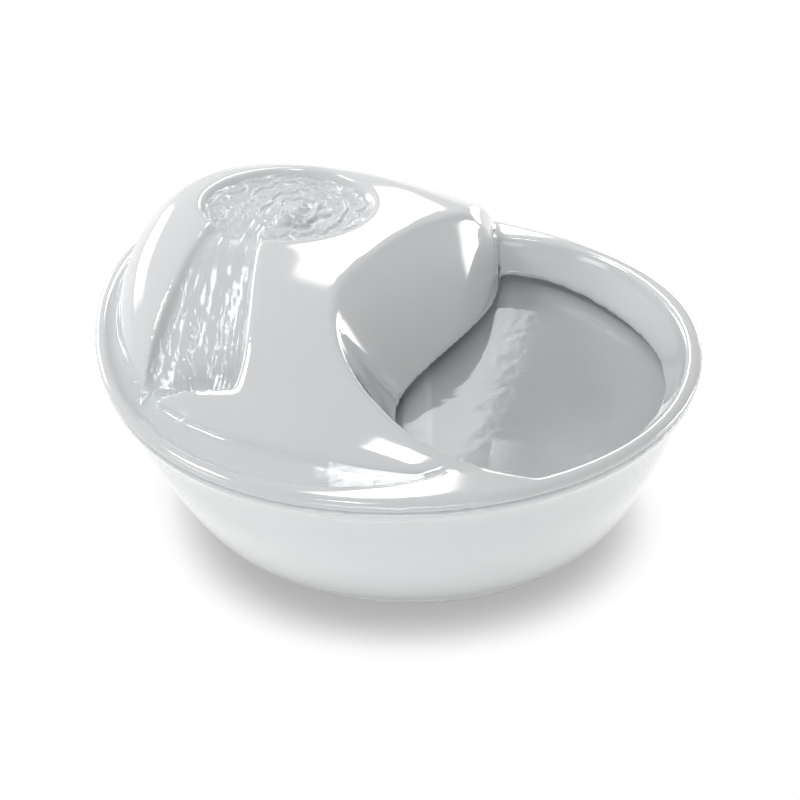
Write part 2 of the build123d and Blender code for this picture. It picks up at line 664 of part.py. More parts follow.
frame_depth = slot_depth - 2 * cartridge_clearance
frame_width = slot_width - 2 * cartridge_clearance
bed_depth = 4.2
fleece = 1.8
frame_side, frame_end = 4.0, 4.5
bed_width = frame_width - 2 * frame_side
bed_low, bed_high = slot_floor + frame_end, cartridge_top - frame_end
grid_columns, grid_rows, grid_bar = 6, 4, 1.6
cell_width, cell_height = bed_width / grid_columns, (bed_high - bed_low) / grid_rows
tab_at, tab_width, tab_height, tab_thickness, tab_root = 12.0, 20.0, 9.0, 2.4, 1.0
with BuildPart() as filter_frame:
    with BuildSketch(Plane.XY.offset(slot_floor)):
        with Locations((filter_x, 0)):
            Rectangle(frame_depth, frame_width)
    extrude(amount=cartridge_top - slot_floor)
    # space for the fleeces and the carbon
    with BuildSketch(Plane.YZ.offset(filter_x - bed_depth / 2 - fleece)):
        with Locations((0, (bed_low + bed_high) / 2)):
            Rectangle(bed_width, bed_high - bed_low)
    extrude(amount=bed_depth + 2 * fleece, mode=Mode.SUBTRACT)
    # grid on both faces
    with BuildSketch(Plane.YZ.offset(filter_x - slot_depth)):
        with Locations((0, (bed_low + bed_high) / 2)):
            with GridLocations(cell_width, cell_height, grid_columns, grid_rows):
                Rectangle(cell_width - grid_bar, cell_height - grid_bar)
    extrude(amount=2 * slot_depth, mode=Mode.SUBTRACT)
    # pull tab
    with BuildSketch(Plane.YZ.offset(filter_x - tab_thickness / 2)):
        with Locations((tab_at, cartridge_top + tab_height / 2 - tab_root)):
            Rectangle(tab_width, tab_height)
    extrude(amount=tab_thickness)
filter_frame.part.label = "filter_frame"
export_step(filter_frame.part, "parts/filter_frame.step")

for name, start, thickness in (("filter_fleece_left", -bed_depth / 2 - fleece, fleece),
                               ("carbon_bed", -bed_depth / 2, bed_depth),
                               ("filter_fleece_right", bed_depth / 2, fleece)):
    with BuildPart() as layer:
        with BuildSketch(Plane.YZ.offset(filter_x + start)):
            with Locations((0, (bed_low + bed_high) / 2)):
                Rectangle(bed_width, bed_high - bed_low)
        extrude(amount=thickness)
    layer.part.label = name
    export_step(layer.part, f"parts/{name}.step")
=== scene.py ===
import json
import math
from functools import partial

import bmesh
import bpy
from bpy.props import FloatProperty, FloatVectorProperty, IntProperty, PointerProperty
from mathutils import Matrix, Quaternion, Vector, noise
from mathutils.bvhtree import BVHTree


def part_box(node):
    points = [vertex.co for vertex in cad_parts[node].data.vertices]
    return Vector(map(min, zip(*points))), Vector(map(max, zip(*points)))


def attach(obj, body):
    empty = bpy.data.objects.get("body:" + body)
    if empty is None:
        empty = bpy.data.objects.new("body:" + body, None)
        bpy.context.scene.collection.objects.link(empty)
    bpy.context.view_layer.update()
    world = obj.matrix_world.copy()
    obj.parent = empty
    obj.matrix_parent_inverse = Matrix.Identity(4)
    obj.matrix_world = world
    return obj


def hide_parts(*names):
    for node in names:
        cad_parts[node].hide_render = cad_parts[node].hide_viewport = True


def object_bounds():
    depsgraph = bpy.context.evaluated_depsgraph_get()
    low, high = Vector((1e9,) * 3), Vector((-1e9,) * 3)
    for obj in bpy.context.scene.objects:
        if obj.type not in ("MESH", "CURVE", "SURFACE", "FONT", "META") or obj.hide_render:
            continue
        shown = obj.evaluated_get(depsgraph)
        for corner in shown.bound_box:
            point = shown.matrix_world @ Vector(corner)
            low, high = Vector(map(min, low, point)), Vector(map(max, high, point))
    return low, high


bl_info = {
    "name": "Glazed drinking fountain",
    "version": (1, 0, 0),
    "blender": (4, 5, 0),
    "location": "View3D > Sidebar > Fountain",
    "description": "Glaze, running water, pump and filter finishes for a ceramic drinking fountain",
    "category": "Object",
}

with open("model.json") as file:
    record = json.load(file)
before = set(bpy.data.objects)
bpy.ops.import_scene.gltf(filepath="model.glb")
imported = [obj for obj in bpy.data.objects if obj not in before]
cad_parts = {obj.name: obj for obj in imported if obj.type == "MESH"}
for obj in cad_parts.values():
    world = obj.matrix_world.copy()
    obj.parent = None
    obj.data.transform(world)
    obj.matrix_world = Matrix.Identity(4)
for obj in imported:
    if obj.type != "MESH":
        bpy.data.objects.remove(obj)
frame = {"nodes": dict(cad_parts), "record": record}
CAD_LOW, CAD_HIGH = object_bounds()
COVER_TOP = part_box("cover")[1].z
BOWL_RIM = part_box("bowl")[1].z
TUBE_LOW, TUBE_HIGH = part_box("outlet_tube")

OUTLET = Vector(((TUBE_LOW.x + TUBE_HIGH.x) / 2, (TUBE_LOW.y + TUBE_HIGH.y) / 2, 0))
DISH_CENTRE = Vector((-0.0495, 0.0485, 0))
DISH_RADII = (0.0395, 0.0315)
# centreline of the chute's floor and its width, from the dish down to the gutter
CHUTE = ((-0.0600, 0.0500, 0.0200), (-0.0660, 0.0400, 0.0210),
         (-0.0710, 0.0270, 0.0230), (-0.0760, 0.0120, 0.0265),
         (-0.0805, -0.0060, 0.0305), (-0.0855, -0.0280, 0.0345),
         (-0.0895, -0.0460, 0.0365), (-0.0930, -0.0600, 0.0370))
CHUTE_SIDE = Vector((0.972, -0.235, 0))
GUTTER_FLOOR = BOWL_RIM + 0.0023
POOL_CENTRE = Vector((0.008, 0.008, 0))
# height of the bare foot, and the height over which the glaze runs out above it
FOOT_TOP, GLAZE_EDGE = 0.0009, 0.0006

# welling water: cells of its grid, size of its unevenness, how far that bends the rings (radians),
# how fast the rings fade (1/m), and the width of the mound
WELL_CELLS = (180, 144)
WELL_UNEVENNESS, RING_WOBBLE, RING_FADING = 95.0, 14.0, 20.0
MOUND_RADIUS = 0.012
# sheet on the chute: its grid, rows to either side that its level is evened out over, rows in which
# the braids begin, how far it reaches into the walls, and how far and how often the braids lean
CHUTE_ROWS, CHUTE_COLUMNS = 220, 72
EVENED_ROWS, STARTING_ROWS = 5, 30
CHUTE_OVERLAP = 0.0012
BRAID_LEAN, BRAID_TURNS, BRAID_SKEW = 0.0035, 9.0, 2.0
# gutter: size of the sheet's cells, cells that it reaches into its walls, height of its unevenness
# far from the chute and at the chute's foot, and how far the stir there reaches
GUTTER_CELL, GUTTER_OVERLAP = 0.001, 2
GUTTER_SLACK = 0.0005  # how far its floor may lie below GUTTER_FLOOR
GUTTER_CALM, GUTTER_STIR, STIR_REACH = 0.00015, 0.0016, 0.034
# pool: its fan of faces, how far it reaches into the wall, and the height of its unevenness
POOL_SPOKES, POOL_RINGS = 128, 60
POOL_OVERLAP, POOL_UNEVENNESS = 0.0015, 0.00006

FLOOR_HALF = 3.0
# painted shadow on the floor: how far it reaches, and its tone where little or much of the sky is
# open
SHADOW_REACH, SHADOW_OPEN, SHADOW_TONE = 0.03, (0.30, 0.80), (0.44, 1.0)
# the room's light at the horizon and overhead, and the height (0 to 1) at which the latter begins
ROOM_LOW, ROOM_HIGH, ROOM_TURN = 0.95, 0.28, 0.8
CAMERA_PLACE = (0.00183, -0.80354, 0.64779)
CAMERA_AIM = (0.00183, 0.00548, 0.060)
LENS, SENSOR = 97.56, 36.0
MIDDLE = (0, 0, 0.08)
# name, azimuth, elevation, distance, size, radiance, point that it faces, roll, softened edge
LAMPS = (
    ("softbox_shoulder", 4, 38, 0.5, (0.10, 0.54), 12.0, (-0.01, 0.02, 0.138), -18, 0.6),
    ("softbox_left_bank", -44, 12, 1.5, (0.95, 0.50), 8.0, MIDDLE, 0, 0.6),
    ("softbox_chute", -76, 55, 1.6, (0.48, 0.42), 17.0, MIDDLE, 0, 0.3),
    ("softbox_over", -144, 77, 1.6, (0.31, 0.28), 13.0, MIDDLE, 0, 0.35),
    ("softbox_nose", 80, -4, 0.6, (0.38, 0.12), 9.0, MIDDLE, 0, 0.6),
    ("softbox_ridge", 36, 6, 0.42, (0.30, 0.09), 6.0, (0, 0, 0.045), 0, 0.6),
    ("softbox_front", 180, 8, 1.6, (1.80, 0.55), 3.9, MIDDLE, 0, 0.6),
    ("softbox_front_left", -112, 20, 1.6, (0.80, 0.50), 3.2, MIDDLE, 0, 0.6),
)


# ---------------------------------------------------------------- what a user may change
def length_setting(name, description, default, low, high):
    """A length in metres."""
    return FloatProperty(name=name, description=description, default=default, min=low, max=high,
                         subtype="DISTANCE", unit="LENGTH")


def colour_setting(name, description, default):
    """A colour in linear light."""
    return FloatVectorProperty(name=name, description=description, default=default, min=0, max=1,
                               subtype="COLOR")


class FountainSizes(bpy.types.PropertyGroup):
    """Sizes of the glaze's softness and of the water."""

    cover_voxel: length_setting("Cover detail", "Size of the cover's mesh cells",
                                0.0013, 0.0011, 0.004)
    bowl_voxel: length_setting("Bowl detail", "Size of the bowl's mesh cells",
                               0.0017, 0.0016, 0.004)
    softness: IntProperty(name="Edge softness", description="How far the glaze rounds the edges",
                          default=9, min=0, max=40)
    evenness: IntProperty(name="Evenness", description="How far the glaze evens out broad surfaces",
                          default=40, min=0, max=100)
    dish_level: length_setting("Water in the dish",
                               "Depth of the water's surface below the dome's top",
                               0.0030, 0.0012, 0.009)
    ripple_height: length_setting("Ripple height", "Height of the ripples round the outlet",
                                  0.0009, 0, 0.0015)
    ripple_spacing: length_setting("Ripple spacing", "Distance between two ripples",
                                   0.0085, 0.002, 0.02)
    mound_height: length_setting("Welling height", "Height of the water welling up at the outlet",
                                 0.0019, 0, 0.002)
    chute_depth: length_setting("Water on the chute",
                                "Depth of the sheet that runs down the chute",
                                0.0016, 0.0005, 0.004)
    braid_height: length_setting("Braids", "Height of the braids in the water on the chute",
                                 0.0024, 0, 0.004)
    gutter_depth: length_setting("Water in the gutter", "Depth of the water in the gutter",
                                 0.0013, 0.0005, 0.0025)
    pool_drop: length_setting("Pool level", "How far the pool lies below the bowl's rim",
                              0.015, 0.012, 0.05)


class FountainFinishes(bpy.types.PropertyGroup):
    """Colours and gloss of the fountain."""

    # the same white glaze as the bowl's, set darker: painted shade for the cover's dimmer top
    cover_colour_with_painted_shade: colour_setting("Cover glaze", "Colour of the cover's glaze", (0.645, 0.66, 0.67))
    bowl_colour: colour_setting("Bowl glaze", "Colour of the bowl's glaze", (0.74, 0.765, 0.775))
    bisque_colour: colour_setting("Bare clay", "Colour of the unglazed foot", (0.70, 0.67, 0.62))
    glaze_roughness: FloatProperty(name="Glaze roughness", description="Roughness of the glaze",
                                   default=0.07, min=0, max=1, subtype="FACTOR")
    water_colour: colour_setting("Water", "Tint of the water", (0.93, 0.97, 0.98))
    floor_colour: colour_setting("Floor", "Colour of the studio floor", (0.80, 0.80, 0.80))


# ---------------------------------------------------------------- meshes
def link(piece):
    bpy.context.scene.collection.objects.link(piece)
    return piece


def mesh_piece(name, points, faces):
    """A smooth-shaded mesh object at the origin."""
    mesh = bpy.data.meshes.new(name)
    mesh.from_pydata([tuple(p) for p in points], [], faces)
    mesh.update()
    mesh.polygons.foreach_set("use_smooth", [True] * len(mesh.polygons))
    return link(bpy.data.objects.new(name, mesh))


def made_plain(piece):
    """Turns the result of a piece's modifiers into its own plain mesh."""
    graph = bpy.context.evaluated_depsgraph_get()
    result = bpy.data.meshes.new_from_object(piece.evaluated_get(graph))
    piece.modifiers.clear()
    piece.data = result
    return piece


def merged_copy(node):
    """A copy of a CAD node's mesh with its loose triangles joined."""
    mesh = frame["nodes"][node].data.copy()
    mesh.materials.clear()
    shape = bmesh.new()
    shape.from_mesh(mesh)
    bmesh.ops.remove_doubles(shape, verts=shape.verts, dist=1e-5)
    shape.to_mesh(mesh)
    shape.free()
    return mesh


def mark_broad_surfaces(piece, flattest=50.0, sharpest=125.0, margin=4):
    """A vertex group that is 1 on broad surfaces and 0 near edges. Bends are in 1/m."""
    mesh = piece.data
    bends = [0.0] * len(mesh.vertices)
    pairs = [tuple(edge.vertices) for edge in mesh.edges]
    for a, b in pairs:
        one, other = mesh.vertices[a], mesh.vertices[b]
        bend = (one.normal - other.normal).length / max((one.co - other.co).length, 1e-6)
        bends[a], bends[b] = max(bends[a], bend), max(bends[b], bend)
    for _ in range(margin):
        spread = list(bends)
        for a, b in pairs:
            spread[a], spread[b] = max(spread[a], bends[b]), max(spread[b], bends[a])
        bends = spread
    group = piece.vertex_groups.new(name="Broad surfaces")
    for number, bend in enumerate(bends):
        weight = (sharpest - bend) / (sharpest - flattest)
        if weight > 0:
            group.add([number], min(weight, 1.0), "REPLACE")
    return group.name


def smooth(piece, name, times, group=""):
    """Adds a modifier that smooths a mesh a number of times, where the vertex group says."""
    modifier = piece.modifiers.new(name, "SMOOTH")
    modifier.factor = 0.5
    modifier.iterations = times
    modifier.vertex_group = group


def glazed_shape(node, name, cell, softness, evenness):
    """The node's shape with the soft edges and even surfaces that a layer of glaze gives it."""
    piece = link(bpy.data.objects.new(name, merged_copy(node)))
    cells = piece.modifiers.new("Even cells", "REMESH")
    cells.mode = "VOXEL"
    cells.voxel_size = cell
    cells.use_smooth_shade = True
    smooth(piece, "Rounded edges", softness)
    made_plain(piece)
    smooth(piece, "Even surfaces", evenness, mark_broad_surfaces(piece))
    return made_plain(piece)


def surface_of(node):
    """Search tree of a CAD node's surface."""
    shape = bmesh.new()
    shape.from_mesh(frame["nodes"][node].data)
    tree = BVHTree.FromBMesh(shape)
    shape.free()
    return tree


def top_at(tree, x, y, start=0.3):
    """Height of the surface met first from above, or None."""
    hit = tree.ray_cast(Vector((x, y, start)), Vector((0, 0, -1)))[0]
    return None if hit is None else hit.z


def strands(x, y, seed, along=18.0, across=150.0):
    """Streaky unevenness of running water, from -1 to 1."""
    broad = noise.noise(Vector((x * across, y * along, seed)))
    fine = noise.noise(Vector((x * across * 2.1, y * along * 2.4, seed + 7.0)))
    return (broad + 0.5 * fine) / 1.5


# ---------------------------------------------------------------- materials
def socket(group, name, kind, way, value=None):
    made = group.interface.new_socket(name=name, in_out=way, socket_type=kind)
    if value is not None:
        made.default_value = value
    return made


def math_node(tree, operation, *values):
    """The result of a math node on numbers and other nodes' results."""
    made = tree.nodes.new("ShaderNodeMath")
    made.operation = operation
    for value, target in zip(values, made.inputs):
        if isinstance(value, (int, float)):
            target.default_value = value
        else:
            tree.links.new(value, target)
    return made.outputs[0]


def map_range(tree, value, low, high, new_low=0.0, new_high=1.0, curve="LINEAR"):
    """Maps the values between two limits to those between two others, and holds them there."""
    made = tree.nodes.new("ShaderNodeMapRange")
    made.interpolation_type = curve
    made.inputs["From Min"].default_value = low
    made.inputs["From Max"].default_value = high
    made.inputs["To Min"].default_value = new_low
    made.inputs["To Max"].default_value = new_high
    tree.links.new(value, made.inputs["Value"])
    return made.outputs[0]


def axes_of(tree, vector):
    """The X, Y and Z of a vector."""
    parts = tree.nodes.new("ShaderNodeSeparateXYZ")
    tree.links.new(vector, parts.inputs[0])
    return parts.outputs


def finish_group(name, texture):
    """A finish's unevenness in the object's own space: its colour, roughness and height."""
    if name in bpy.data.node_groups:
        return bpy.data.node_groups[name]
    group = bpy.data.node_groups.new(name, "ShaderNodeTree")
    socket(group, "Colour", "NodeSocketColor", "INPUT", (0.8, 0.8, 0.8, 1))
    socket(group, "Roughness", "NodeSocketFloat", "INPUT", 0.3)
    socket(group, "Scale", "NodeSocketFloat", "INPUT", 40.0)
    socket(group, "Variation", "NodeSocketFloat", "INPUT", 0.05)
    socket(group, "Colour", "NodeSocketColor", "OUTPUT")
    socket(group, "Roughness", "NodeSocketFloat", "OUTPUT")
    socket(group, "Height", "NodeSocketFloat", "OUTPUT")
    nodes, links = group.nodes, group.links
    given, result = nodes.new("NodeGroupInput"), nodes.new("NodeGroupOutput")
    place = nodes.new("ShaderNodeTexCoord")
    pattern = nodes.new(texture)
    links.new(place.outputs["Object"], pattern.inputs["Vector"])
    links.new(given.outputs["Scale"], pattern.inputs["Scale"])
    value = pattern.outputs["Distance" if texture == "ShaderNodeTexVoronoi" else "Fac"]
    # unevenness as a factor round 1
    centred = math_node(group, "SUBTRACT", value, 0.5)
    swing = math_node(group, "MULTIPLY_ADD", centred, given.outputs["Variation"], 1.0)
    tone = nodes.new("ShaderNodeVectorMath")
    tone.operation = "SCALE"
    links.new(given.outputs["Colour"], tone.inputs[0])
    links.new(swing, tone.inputs["Scale"])
    links.new(tone.outputs[0], result.inputs["Colour"])
    links.new(math_node(group, "MULTIPLY", given.outputs["Roughness"], swing),
              result.inputs["Roughness"])
    links.new(value, result.inputs["Height"])
    return group


def new_material(name):
    """A material, its node tree and its shader."""
    material = bpy.data.materials.new(name)
    material.use_nodes = True
    tree = material.node_tree
    return material, tree, tree.nodes["Principled BSDF"]


def placed_group(tree, group, colour, roughness, scale, variation):
    """A finish's group with its values set."""
    placed = tree.nodes.new("ShaderNodeGroup")
    placed.node_tree = group
    placed.inputs["Colour"].default_value = (*colour, 1)
    placed.inputs["Roughness"].default_value = roughness
    placed.inputs["Scale"].default_value = scale
    placed.inputs["Variation"].default_value = variation
    return placed


def coat(tree, finish, shader):
    """Gives a shader the colour and the roughness of a finish."""
    tree.links.new(finish.outputs["Colour"], shader.inputs["Base Color"])
    tree.links.new(finish.outputs["Roughness"], shader.inputs["Roughness"])


def relief(tree, shader, height, depth, strength):
    """Fine unevenness of a surface, of a depth in metres."""
    bump = tree.nodes.new("ShaderNodeBump")
    bump.inputs["Strength"].default_value = strength
    bump.inputs["Distance"].default_value = depth
    tree.links.new(height, bump.inputs["Height"])
    tree.links.new(bump.outputs["Normal"], shader.inputs["Normal"])


def glaze_material(name, colour, bare_below=None):
    """Thick glossy glaze, a little uneven. Below a height it's bare clay."""
    finishes = bpy.context.scene.fountain_finishes
    material, tree, shader = new_material(name)
    nodes, links = tree.nodes, tree.links
    uneven = finish_group("Glaze unevenness", "ShaderNodeTexNoise")
    glaze = placed_group(tree, uneven, colour, finishes.glaze_roughness, scale=26.0,
                         variation=0.06)
    shader.inputs["Coat Weight"].default_value = 1.0
    shader.inputs["Coat Roughness"].default_value = 0.02
    shader.inputs["Coat IOR"].default_value = 1.5
    shader.inputs["IOR"].default_value = 1.52
    coat(tree, glaze, shader)
    if bare_below is not None:
        grain = finish_group("Clay grain", "ShaderNodeTexVoronoi")
        clay = placed_group(tree, grain, finishes.bisque_colour, roughness=0.8, scale=900.0,
                            variation=0.25)
        place = nodes.new("ShaderNodeTexCoord")
        height = axes_of(tree, place.outputs["Object"])["Z"]
        glazed = map_range(tree, height, bare_below, bare_below + GLAZE_EDGE)
        colours = nodes.new("ShaderNodeMix")
        colours.data_type = "RGBA"
        links.new(glazed, colours.inputs["Factor"])
        links.new(clay.outputs["Colour"], colours.inputs[6])
        links.new(glaze.outputs["Colour"], colours.inputs[7])
        links.new(colours.outputs[2], shader.inputs["Base Color"])
        gloss = nodes.new("ShaderNodeMix")
        links.new(glazed, gloss.inputs["Factor"])
        links.new(clay.outputs["Roughness"], gloss.inputs[2])
        links.new(glaze.outputs["Roughness"], gloss.inputs[3])
        links.new(gloss.outputs[0], shader.inputs["Roughness"])
        links.new(glazed, shader.inputs["Coat Weight"])
    relief(tree, shader, glaze.outputs["Height"], depth=0.0006, strength=0.18)
    return material


def water_material(name, clearness=1.0, skin=0.25, sheen=0.5, tone=1.0):
    """Water with a skin of fine unevenness. Less clear where it runs and takes up air. A tone below
    1 greys its colour, which is painted shade.
    """
    material, tree, shader = new_material(name)
    uneven = finish_group("Water unevenness", "ShaderNodeTexNoise")
    # tone below 1: painted shade in the water's colour
    tint = [tone * part for part in bpy.context.scene.fountain_finishes.water_colour]
    water = placed_group(tree, uneven, tint, roughness=0.02, scale=160.0, variation=0.04)
    coat(tree, water, shader)
    shader.inputs["Transmission Weight"].default_value = clearness
    shader.inputs["IOR"].default_value = 1.33
    shader.inputs["Specular IOR Level"].default_value = sheen
    relief(tree, shader, water.outputs["Height"], depth=0.0004, strength=skin)
    return material


# pattern, its scale, its variation, roughness, relief depth (m), metallic
FINISHES = {
    "pump_plastic": ("Noise", 1400.0, 0.30, 0.42, 0.00008, 0.0),
    "regulator_plastic": ("Noise", 1200.0, 0.25, 0.38, 0.00006, 0.0),
    "core_steel": ("Wave", 320.0, 0.35, 0.35, 0.00010, 1.0),
    "bobbin_plastic": ("Noise", 900.0, 0.12, 0.45, 0.00005, 0.0),
    "copper_wire": ("Wave", 420.0, 0.40, 0.28, 0.00020, 1.0),
    "epoxy": ("Noise", 120.0, 0.30, 0.16, 0.00025, 0.0),
    "black_rubber": ("Noise", 1600.0, 0.40, 0.62, 0.00006, 0.0),
    "ferrite": ("Voronoi", 1500.0, 0.45, 0.55, 0.00005, 0.0),
    "impeller_plastic": ("Noise", 800.0, 0.10, 0.34, 0.00004, 0.0),
    "alumina": ("Noise", 1300.0, 0.10, 0.20, 0.00002, 0.0),
    "clear_rubber": ("Noise", 500.0, 0.15, 0.30, 0.00006, 0.0),
    "silicone": ("Noise", 420.0, 0.12, 0.28, 0.00008, 0.0),
    "holder_plastic": ("Noise", 1100.0, 0.08, 0.40, 0.00006, 0.0),
    "frame_plastic": ("Noise", 1000.0, 0.08, 0.36, 0.00006, 0.0),
    "fleece": ("Noise", 2400.0, 0.35, 0.92, 0.00050, 0.0),
    "carbon": ("Voronoi", 620.0, 0.90, 0.58, 0.00120, 0.0),
}


def finish_material(slot):
    """Material of one of the record's slots, in the colour that the record gives it."""
    name = f"finish_{slot}"
    if name in bpy.data.materials:
        return bpy.data.materials[name]
    pattern, scale, variation, roughness, depth, metallic = FINISHES[slot]
    colours = {m["slot"]: m["base_color"][:3] for m in frame["record"]["materials"]}
    material, tree, shader = new_material(name)
    group = finish_group(f"Grain {pattern}", f"ShaderNodeTex{pattern}")
    grain = placed_group(tree, group, colours[slot], roughness, scale, variation)
    coat(tree, grain, shader)
    shader.inputs["Metallic"].default_value = metallic
    if slot in ("clear_rubber", "silicone"):
        shader.inputs["Subsurface Weight"].default_value = 0.5
        shader.inputs["Subsurface Radius"].default_value = (0.004, 0.004, 0.004)
    relief(tree, shader, grain.outputs["Height"], depth, strength=0.6)
    return material


def dress(piece, material, body):
    """Gives a finished piece its material and the body that it moves with."""
    piece.data.materials.clear()
    piece.data.materials.append(material)
    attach(piece, body)
    return piece


def let_light_through(piece):
    """Lets lamps light what lies under clear water."""
    piece.visible_shadow = False
    piece.visible_diffuse = False


def dress_nodes(*names):
    """Finishes the named CAD nodes in place."""
    slots = {part["node"]: part["material_slot"] for part in frame["record"]["subparts"]}
    for name in names:
        data = frame["nodes"][name].data
        data.materials.clear()
        data.materials.append(finish_material(slots[name]))


# ---------------------------------------------------------------- ceramic
class FOUNTAIN_OT_bowl(bpy.types.Operator):
    """Glaze the bowl and leave its foot bare"""

    bl_idname = "fountain.bowl"
    bl_label = "Bowl"

    def execute(self, context):
        sizes, finishes = context.scene.fountain_sizes, context.scene.fountain_finishes
        bowl = glazed_shape("bowl", "glazed_bowl", sizes.bowl_voxel, sizes.softness,
                            sizes.evenness)
        glaze = glaze_material("bowl_glaze", finishes.bowl_colour, bare_below=FOOT_TOP)
        dress(bowl, glaze, "bowl")
        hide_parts("bowl")
        return {"FINISHED"}


class FOUNTAIN_OT_cover(bpy.types.Operator):
    """Glaze the domed cover"""

    bl_idname = "fountain.cover"
    bl_label = "Cover"

    def execute(self, context):
        sizes, finishes = context.scene.fountain_sizes, context.scene.fountain_finishes
        cover = glazed_shape("cover", "glazed_cover", sizes.cover_voxel, sizes.softness,
                             sizes.evenness)
        dress(cover, glaze_material("cover_glaze", finishes.cover_colour_with_painted_shade), "cover")
        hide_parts("cover")
        return {"FINISHED"}


# ---------------------------------------------------------------- inner parts
class FOUNTAIN_OT_pump(bpy.types.Operator):
    """Finish the pump, its rotor, its feet and the outlet tube"""

    bl_idname = "fountain.pump"
    bl_label = "Pump"

    def execute(self, context):
        dress_nodes("pump_casing", "volute", "intake_cap", "flow_regulator", "stator_core",
                    "coil_bobbin", "coil_winding", "pump_potting", "cord_grommet", "rotor_magnet",
                    "impeller", "rotor_shaft", "rear_bush", "front_bush", "volute_seal",
                    "suction_cup_1", "suction_cup_2", "suction_cup_3", "suction_cup_4",
                    "outlet_tube")
        return {"FINISHED"}


class FOUNTAIN_OT_filter(bpy.types.Operator):
    """Finish the filter's holder and cartridge"""

    bl_idname = "fountain.filter"
    bl_label = "Filter"

    def execute(self, context):
        dress_nodes("filter_holder", "filter_frame", "filter_fleece_left", "filter_fleece_right",
                    "carbon_bed")
        return {"FINISHED"}


# ---------------------------------------------------------------- water
def ripple_tree():
    """Geometry nodes for welling water: rings round the outlet, a mound over it, an oval edge."""
    tree = bpy.data.node_groups.new("Welling water", "GeometryNodeTree")
    for name, default in (("Size X", 0.08), ("Size Y", 0.06), ("Ripple Height", 0.0005),
                          ("Ripple Spacing", 0.007), ("Mound Height", 0.0015),
                          ("Mound Radius", 0.009)):
        socket(tree, name, "NodeSocketFloat", "INPUT", default)
    for name in ("Outlet", "Place"):
        socket(tree, name, "NodeSocketVector", "INPUT", (0, 0, 0))
    socket(tree, "Water", "NodeSocketMaterial", "INPUT")
    socket(tree, "Geometry", "NodeSocketGeometry", "OUTPUT")
    nodes, links = tree.nodes, tree.links
    given, result = nodes.new("NodeGroupInput"), nodes.new("NodeGroupOutput")
    calculate = partial(math_node, tree)

    def onwards(kind, before):
        """A node that goes on with the geometry of the one before."""
        made = nodes.new(kind)
        links.new(before.outputs[0], made.inputs["Geometry"])
        return made

    grid = nodes.new("GeometryNodeMeshGrid")
    for axis, cells in zip("XY", WELL_CELLS):
        grid.inputs[f"Vertices {axis}"].default_value = cells
        links.new(given.outputs[f"Size {axis}"], grid.inputs[f"Size {axis}"])
    where = nodes.new("GeometryNodeInputPosition").outputs[0]
    # oval edge, at half the grid's size from its middle
    x, y, _ = axes_of(tree, where)
    across = calculate("DIVIDE", x, given.outputs["Size X"])
    along = calculate("DIVIDE", y, given.outputs["Size Y"])
    oval = calculate("ADD", calculate("MULTIPLY", across, across),
                     calculate("MULTIPLY", along, along))
    trim = onwards("GeometryNodeDeleteGeometry", grid)
    links.new(calculate("GREATER_THAN", oval, 0.25), trim.inputs["Selection"])
    # height over the flat surface
    reach = nodes.new("ShaderNodeVectorMath")
    reach.operation = "DISTANCE"
    links.new(where, reach.inputs[0])
    links.new(given.outputs["Outlet"], reach.inputs[1])
    distance = reach.outputs["Value"]
    uneven = nodes.new("ShaderNodeTexNoise")
    uneven.inputs["Scale"].default_value = WELL_UNEVENNESS
    uneven.inputs["Detail"].default_value = 3.0
    links.new(where, uneven.inputs["Vector"])
    wobble = calculate("MULTIPLY", calculate("SUBTRACT", uneven.outputs["Fac"], 0.5), RING_WOBBLE)
    turns = calculate("DIVIDE", distance, given.outputs["Ripple Spacing"])
    rings = calculate("SINE", calculate("ADD", calculate("MULTIPLY", turns, 2 * math.pi), wobble))
    fading = calculate("EXPONENT", calculate("MULTIPLY", distance, -RING_FADING))
    waves = calculate("MULTIPLY", calculate("MULTIPLY", rings, fading),
                      given.outputs["Ripple Height"])
    share = calculate("DIVIDE", distance, given.outputs["Mound Radius"])
    mound = calculate("EXPONENT", calculate("MULTIPLY", calculate("MULTIPLY", share, share), -1.0))
    height = calculate("ADD", waves, calculate("MULTIPLY", mound, given.outputs["Mound Height"]))
    lift = nodes.new("ShaderNodeCombineXYZ")
    links.new(height, lift.inputs["Z"])
    moved = nodes.new("ShaderNodeVectorMath")
    moved.operation = "ADD"
    links.new(lift.outputs[0], moved.inputs[0])
    links.new(given.outputs["Place"], moved.inputs[1])
    shaped = onwards("GeometryNodeSetPosition", trim)
    links.new(moved.outputs[0], shaped.inputs["Offset"])
    real = onwards("GeometryNodeRealizeInstances", onwards("GeometryNodeSetShadeSmooth", shaped))
    wet = onwards("GeometryNodeSetMaterial", real)
    links.new(given.outputs["Water"], wet.inputs["Material"])
    links.new(wet.outputs["Geometry"], result.inputs["Geometry"])
    return tree


class FOUNTAIN_OT_dish_water(bpy.types.Operator):
    """Fill the dish with water that wells up at the outlet"""

    bl_idname = "fountain.dish_water"
    bl_label = "Water in the dish"

    def execute(self, context):
        sizes = context.scene.fountain_sizes
        piece = mesh_piece("dish_water", [(0, 0, 0)], [])
        tree = ripple_tree()
        modifier = piece.modifiers.new("Welling water", "NODES")
        modifier.node_group = tree
        # grey tone: painted shade on the water in the dish
        material = water_material("water_in_dish", clearness=0.35, tone=0.68)
        values = {
            "Size X": 2 * DISH_RADII[0], "Size Y": 2 * DISH_RADII[1],
            "Ripple Height": sizes.ripple_height, "Ripple Spacing": sizes.ripple_spacing,
            "Mound Height": sizes.mound_height, "Mound Radius": MOUND_RADIUS,
            "Outlet": tuple(OUTLET - DISH_CENTRE),
            "Place": (DISH_CENTRE.x, DISH_CENTRE.y, COVER_TOP - sizes.dish_level),
            "Water": material,
        }
        for item in tree.interface.items_tree:
            if item.in_out == "INPUT" and item.name in values:
                modifier[item.identifier] = values[item.name]
        made_plain(piece)
        if not piece.data.polygons:
            raise RuntimeError("the dish got no water")
        dress(piece, material, "cover")
        let_light_through(piece)
        return {"FINISHED"}


